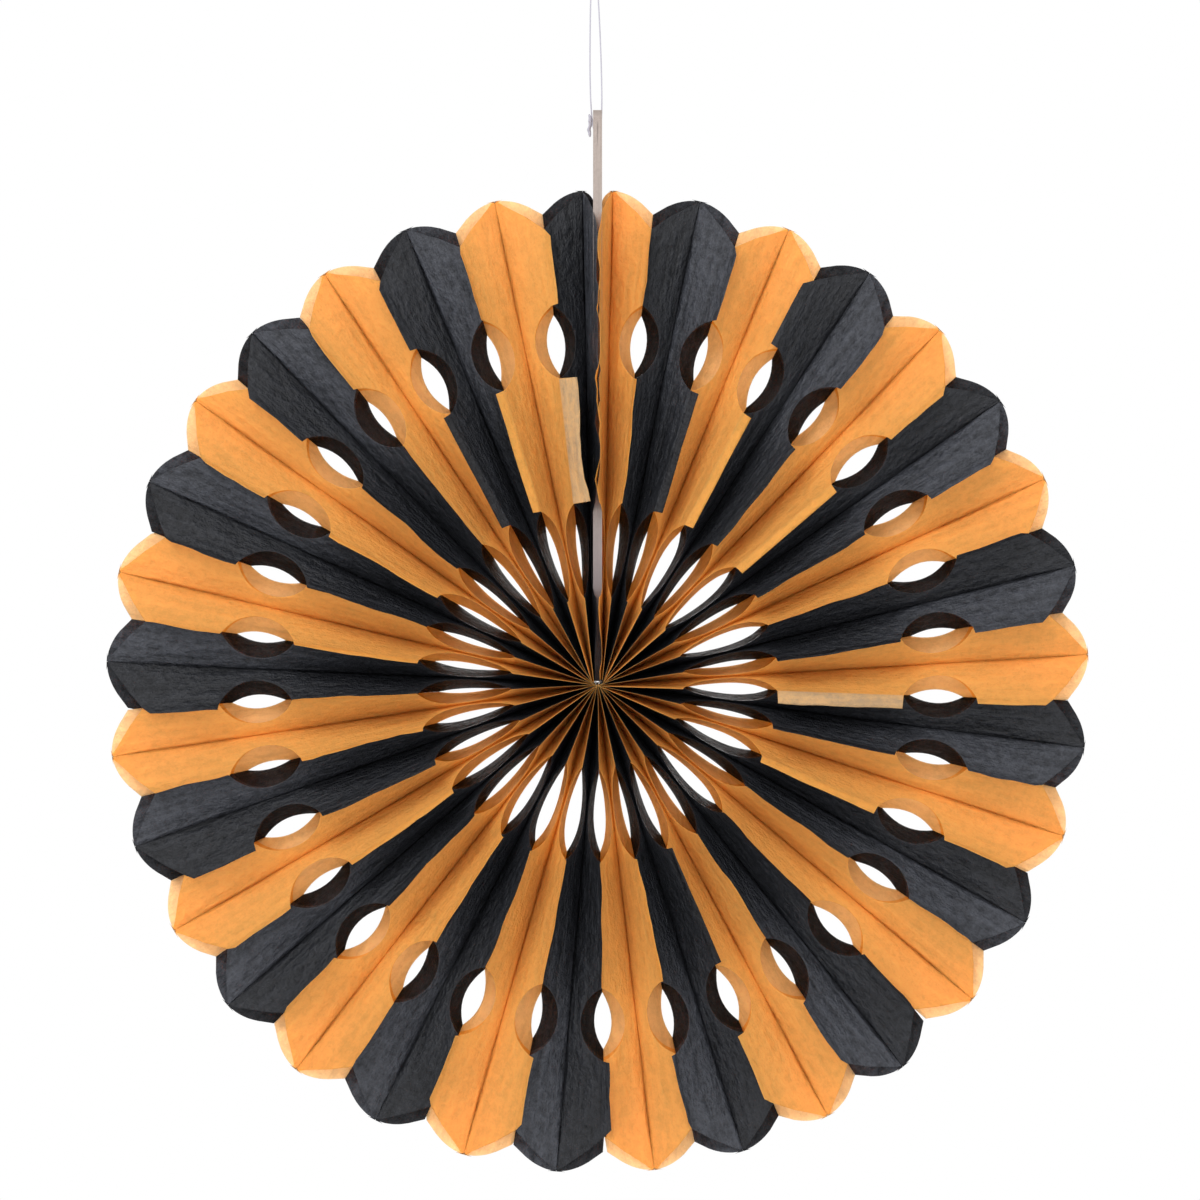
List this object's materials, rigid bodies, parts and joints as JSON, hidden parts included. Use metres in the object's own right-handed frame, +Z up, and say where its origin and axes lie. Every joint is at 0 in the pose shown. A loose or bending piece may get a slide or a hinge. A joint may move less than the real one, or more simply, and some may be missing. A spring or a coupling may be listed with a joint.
{
  "type": "paper fan medallion",
  "caption": "Hanging round fan of folded, die-cut tissue petals in two colours, opened flat between two board strips, with a string loop at the top.",
  "frame": {"origin": "top of the string loop, where the hook or nail holds it; the fan hangs below", "axes": "+Z up along the string, front of the fan facing -Y, +X to the right as seen from the front"},
  "size_m": [0.406, 0.0529, 0.4987],
  "materials": {
    "orange_tissue": "matte",
    "black_tissue": "satin",
    "greyboard": "matte",
    "white_thread": "matte"
  },
  "bodies": {
    "root": {"petal_01_orange": "orange_tissue", "petal_02_black": "black_tissue", "petal_03_orange": "orange_tissue", "petal_04_black": "black_tissue", "petal_05_orange": "orange_tissue", "petal_06_black": "black_tissue", "petal_07_orange": "orange_tissue", "petal_08_black": "black_tissue", "petal_09_orange": "orange_tissue", "petal_10_black": "black_tissue", "petal_11_orange": "orange_tissue", "petal_12_black": "black_tissue", "petal_13_orange": "orange_tissue", "petal_14_black": "black_tissue", "petal_15_orange": "orange_tissue", "petal_16_black": "black_tissue", "petal_17_orange": "orange_tissue", "petal_18_black": "black_tissue", "petal_19_orange": "orange_tissue", "petal_20_black": "black_tissue", "petal_21_orange": "orange_tissue", "petal_22_black": "black_tissue", "petal_23_orange": "orange_tissue", "petal_24_black": "black_tissue", "petal_25_orange": "orange_tissue", "petal_26_black": "black_tissue", "petal_27_orange": "orange_tissue", "petal_28_black": "black_tissue", "petal_29_orange": "orange_tissue", "petal_30_black": "black_tissue", "petal_31_orange": "orange_tissue", "petal_32_black": "black_tissue", "petal_33_orange": "orange_tissue", "petal_34_black": "black_tissue", "board_right": "greyboard", "board_left": "greyboard", "hanging_string": "white_thread"}
  },
  "joints": []
}
